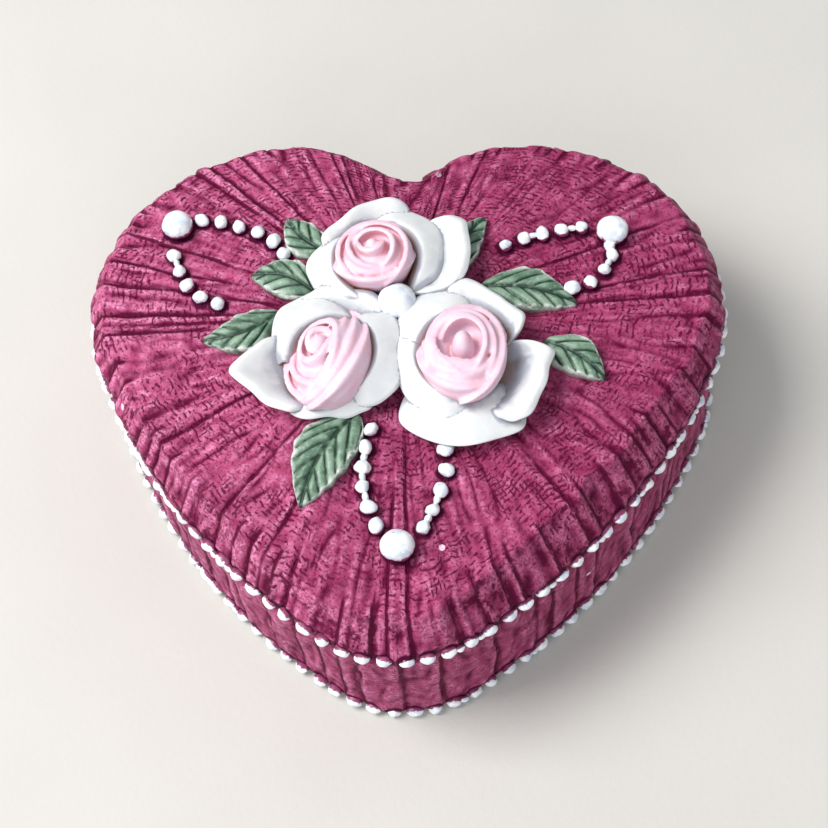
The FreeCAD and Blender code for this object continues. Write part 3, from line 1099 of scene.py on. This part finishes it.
def petal_grid(centre, petal, rng):
    """A petal's middle surface, from beside the bud out to its own lip."""
    kind, first, last, reaches, crest, lip = petal
    u = np.linspace(0, 1, PETAL_COLUMNS)
    v = np.linspace(0, 1, PETAL_ROWS)[:, None]
    wave = rng.uniform(0, 2 * math.pi)
    angle = np.radians(first + (last - first) * u)
    reach = np.interp(u, np.linspace(0, 1, len(reaches)), reaches)
    reach = np.convolve(np.pad(reach, 1, mode="edge"), np.ones(3) / 3, mode="valid")
    reach = reach + 0.26 * np.sin(9 * u + wave) + 0.14 * np.sin(21 * u + 3 * wave)
    if kind == "hug":
        ends = smooth(u, 0.0, 0.20) * (1 - smooth(u, 0.80, 1.0))
        crest = crest - 0.6 - 2.2 * np.abs(2 * u - 1) ** 3
        reach = 8.2 + (reach - 8.2) * (0.25 + 0.75 * ends)
    else:
        ends = smooth(u, 0.0, 0.10) * (1 - smooth(u, 0.90, 1.0))
        reach = 7.0 + (reach - 7.0) * (0.70 + 0.30 * ends)
        lip = lip - 0.9 * np.abs(2 * u - 1) ** 4
    radius, height = petal_profile(kind, reach, crest, lip, v)
    tucked = 0.8 * (1 - smooth(u, 0.0, 0.16)) + 0.3 * smooth(u, 0.88, 1.0)
    ripple = 0.42 * np.sin(6 * u + wave) + 0.18 * np.sin(17 * u + 2 * wave)
    height = height + ripple * v**2 - tucked
    plan = centre + np.stack((radius * np.cos(angle), radius * np.sin(angle)), 2)
    return np.dstack((plan, crown_height(plan) + np.maximum(height, 0.4)))


def make_petal(which, number, material, centre, petal, rng):
    """A petal as a thick sheet of resin that thins towards its lip and ends."""
    grid = petal_grid(centre, petal, rng)
    normals = grid_normals(grid)
    normals *= np.sign(normals[..., 2].sum())
    u = np.linspace(0, 1, PETAL_COLUMNS)
    from_lip = 10 * (1 - np.linspace(0, 1, PETAL_ROWS))[:, None]
    from_ends = 12 * np.minimum(u, 1 - u)
    inside = smooth(np.minimum(from_lip, from_ends), 0.0, 1.0)
    thick = PETAL_THICK * (0.4 + 0.6 * inside)[..., None]
    points, faces = slab(grid + normals * thick * 0.35, grid - normals * thick * 0.65)
    piece = new_piece(f"petal_{which}_{number}", "lid", material, points, faces)
    rounding = piece.modifiers.new("smooth", "SUBSURF")
    rounding.levels = 1
    rounding.render_levels = 1
    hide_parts(f"rose_{which}_petal_{number}")
    return piece


# ---------------------------------------------------------------- leaves

# Each leaf: where its stem and its tip are in plan, its width, and how far its midrib bows.
LEAVES = {
    "back_left": ((-12.6, 21.0), (-20.6, 29.1), 6.4, 0.1),
    "upper_left": ((-15.0, 13.6), (-25.9, 17.2), 7.4, -0.1),
    "lower_left": ((-20.5, 9.3), (-33.3, 4.4), 7.0, 0.12),
    "front": ((-6.6, -9.8), (-15.1, -26.2), 9.6, -0.08),
    "back_right": ((9.6, 18.0), (13.9, 28.7), 5.4, 0.1),
    "upper_right": ((13.0, 14.1), (29.3, 11.2), 8.0, 0.06),
    "lower_right": ((23.6, 3.6), (33.4, -3.0), 7.0, 0.06),
}
VEIN_PITCH = 3.3


def leaf_shape(which, rng):
    """A leaf's plan, its height above the crown, and how far each point is in a vein or at the edge."""
    stem, tip, width, bend = LEAVES[which]
    length = np.linalg.norm(np.array(tip) - stem)
    along = (np.array(tip) - stem) / length
    across = np.array((-along[1], along[0]))
    t = np.linspace(0, 1, 73)[:, None]
    w = np.linspace(-1, 1, 49)
    out = np.abs(w)
    phase = rng.uniform(0, 6.28, 2)
    half = width / 2 * np.sin(np.pi * t**0.86) ** 0.72 * (1 - 0.25 * t**3) + 0.04
    teeth = 1 + 0.03 * np.sin(t * length / VEIN_PITCH * 2 * np.pi + phase[0])
    side = half * teeth * w
    path = t * length
    bow = bend * length * np.sin(np.pi * t)
    plan = stem + path[..., None] * along + (side + bow)[..., None] * across
    mid = np.exp(-((side / 0.36) ** 2))
    lead = path - 1.25 * np.abs(side) - 0.10 * side**2
    gap = (lead / VEIN_PITCH + 0.5 * (side > 0)) % 1.0
    veins = np.exp(-((np.minimum(gap, 1 - gap) * VEIN_PITCH / 0.34) ** 2))
    veins = veins * smooth(np.abs(side), 0.1, 0.5) * (1 - smooth(out, 0.86, 1.0))
    puff = np.sin(np.pi * gap) * smooth(np.abs(side), 0.2, 1.2) * 0.30
    wavy = 0.30 * np.sin(t * 9 + phase[1]) * out**2
    lift = 1.1 + 0.55 * (1 - out**2) + 0.5 * np.sin(np.pi * t) - 0.4 * t**3
    height = lift + puff + wavy - 0.45 * mid - 0.30 * veins
    return plan, height, np.clip(mid * 0.95 + veins, 0, 1), smooth(np.maximum(out, t**2), 0.74, 1.0)


def make_leaf(which, material, seed):
    """A leaf laid on the crown: a carved midrib and side veins with puffed blades between them."""
    plan, height, vein, edge = leaf_shape(which, np.random.default_rng(seed))
    crown = crown_height(plan)
    points, faces = slab(np.dstack((plan, crown + height)), np.dstack((plan, crown - 0.25)))
    below = np.zeros_like(vein)
    attributes = {"vein": np.stack((vein, below)), "edge": np.stack((edge, below + 0.5))}
    piece = new_piece(f"leaf_{which}_carved", "lid", material, points, faces, attributes)
    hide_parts(f"leaf_{which}")


# ---------------------------------------------------------------- felt, cavities, stage


def make_felt(material):
    """The felt pad under the base: a cut sheet with slightly uneven faces and soft edges."""
    low, high = node_box("base_felt_pad")
    top = [(high[2], 14.0), (high[2], 1.0), (high[2], 0.15), (high[2] - 0.2, 0.0)]
    under = [(low[2] + 0.2, 0.0), (low[2], 0.15), (low[2], 1.0), (low[2], 14.0)]
    layers = []
    for z, further in top + under:
        fuzz = np.array([noise.noise(Vector((*p, z))) for p in RIM]) * 0.12
        layers.append(ring_at(FELT_INSET + further + fuzz, z))
    pad = new_piece("felt_pad", "base", material, *capped(layers))
    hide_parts("base_felt_pad")


def surroundings(pieces):
    """All the pieces' skins in one tree for casting rays."""
    bpy.context.view_layer.update()
    graph = bpy.context.evaluated_depsgraph_get()
    skins = bmesh.new()
    for piece in pieces:
        skins.from_mesh(piece.evaluated_get(graph).to_mesh())
        piece.evaluated_get(graph).to_mesh_clear()
    tree = BVHTree.FromBMesh(skins)
    skins.free()
    return tree


def shut_in(tree, vertex, fan, far):
    """0 for a vertex in the open and 1 where the skins close by shut it in."""
    start = vertex.co + vertex.normal * 0.08 * MM
    shut = 0.0
    for ray in fan:
        aim = -ray if ray.dot(vertex.normal) < 0 else ray
        aim = (aim + vertex.normal * 0.6).normalized()
        distance = tree.ray_cast(start, aim, far * MM)[3]
        if distance is not None:
            shut += 1.0 - 0.6 * distance / (far * MM)
    return shut / len(fan)


def shade_cavities(pieces, around, far, rays):
    """Gives each piece an attribute that says how far its surroundings shut it in; the petals' and
    buds' paints turn it into painted shade.
    """
    tree = surroundings(around)
    rng = np.random.default_rng(5)
    for piece in pieces:
        fan = rng.normal(size=(rays, 3))
        fan = [Vector(ray) for ray in fan / np.linalg.norm(fan, axis=1, keepdims=True)]
        deep = [shut_in(tree, vertex, fan, far) for vertex in piece.data.vertices]
        layer = piece.data.attributes.new("deep", "FLOAT", "POINT")
        layer.data.foreach_set("value", np.array(deep, np.float32))


def make_camera():
    """The camera, turned about the point that it looks at."""
    camera = added("camera", bpy.data.cameras.new("camera"))
    camera.data.lens = LENS
    camera.data.sensor_width = SENSOR
    camera.data.clip_start = 0.01
    turned = Matrix.Rotation(AZIMUTH, 4, "Z") @ Matrix.Rotation(math.pi / 2 - ELEVATION, 4, "X")
    turned = turned @ Matrix.Rotation(ROLL, 4, "Z") @ Matrix.Translation((0.0, 0.0, DISTANCE * MM))
    camera.matrix_world = Matrix.Translation(TARGET * MM) @ turned
    bpy.context.scene.camera = camera


def make_floor():
    """A plain pale floor, so wide that its edge is out of sight."""
    mesh = bpy.data.meshes.new("floor")
    far = 12.0
    corners = [(-far, -far, 0.0), (far, -far, 0.0), (far, far, 0.0), (-far, far, 0.0)]
    mesh.from_pydata(corners, [], [(0, 1, 2, 3)])
    s = Shader("floor")
    colour = s.mix(s.noise(40.0, 3.0), (0.50, 0.485, 0.455), (0.56, 0.545, 0.515))
    mesh.materials.append(s.finish(colour, 0.8, s.noise(1.2, 3.0), 0.05))
    added("floor", mesh)


def make_light(name, place, aim, width, power, colour):
    """A soft square light at place, turned to face aim, in metres."""
    light = bpy.data.lights.new(name, "AREA")
    light.size = width
    light.energy = power
    light.color = colour
    lamp = added(name, light)
    lamp.location = place
    lamp.rotation_euler = (Vector(aim) - Vector(place)).to_track_quat("-Z", "Y").to_euler()


def make_lights():
    """Soft daylight from a window high on the left, a weak fill in front and a bright room."""
    middle = (0.0, 0.0, 0.03)
    make_light("window", (-0.55, 0.0, 0.8), middle, 0.5, 11.6, (1.0, 0.985, 0.97))
    make_light("fill", (-0.1, -0.9, 0.5), middle, 0.9, 4.5, (0.95, 0.97, 1.0))
    world = bpy.data.worlds.new("room")
    world.use_nodes = True
    sky = world.node_tree.nodes["Background"]
    sky.inputs[0].default_value = (0.86, 0.89, 0.93, 1.0)
    sky.inputs[1].default_value = 0.56
    bpy.context.scene.world = world
    bpy.context.scene.view_settings.view_transform = "Standard"


def make_roses(petal, bud):
    """Every petal and bud of the three roses."""
    buds = []
    petals = []
    for rose, (which, specs) in enumerate(PETALS.items()):
        low, high = node_box(f"rose_{which}_bud")
        centre = (low[:2] + high[:2]) / 2
        rng = np.random.default_rng(40 + rose)
        for number, spec in enumerate(specs, 1):
            petals.append(make_petal(which, number, petal, centre, spec, rng))
        buds.append(make_bud(which, bud, 60 + rose))
    return buds, petals


make_camera()
make_floor()
make_lights()

pearl_beads = []
for which in STRINGS:
    pearl_beads += beads_of(f"pearl_string_{which}", STRING_RADIUS)
for node in LARGE_PEARLS:
    low, high = node_box(node)
    pearl_beads.append((*((low + high) / 2), (high[0] - low[0]) / 2))
make_lid(gathered_resin("mauve_resin", 1.0), pearl_beads + beads_of("lid_bead_edging", EDGE_RADIUS))
make_base(gathered_resin("mauve_resin_base", 0.5), beads_of("base_bead_edging", EDGE_RADIUS))

pearl = pearl_paint()
make_edging("lid", pearl, 3)
make_edging("base", pearl, 4)
for number, which in enumerate(STRINGS):
    make_string(which, pearl, 10 + number)
drips = {"end_pearl_right": (-0.2, -1.0)}
for number, node in enumerate(LARGE_PEARLS):
    make_pearl(node, pearl, 20 + number, drips.get(node))

leaf = leaf_paint()
for number, which in enumerate(LEAVES):
    make_leaf(which, leaf, 30 + number)
buds, petals = make_roses(petal_paint(), bud_paint())
rays = 24
# Painted shade for the roses: how far the petals and buds shut each point in, over a broad reach for
# the petals and a close one for the buds.
shade_cavities(petals, buds + petals, 12.0, rays)
shade_cavities(buds, buds + petals, 2.0, rays)
make_felt(felt())
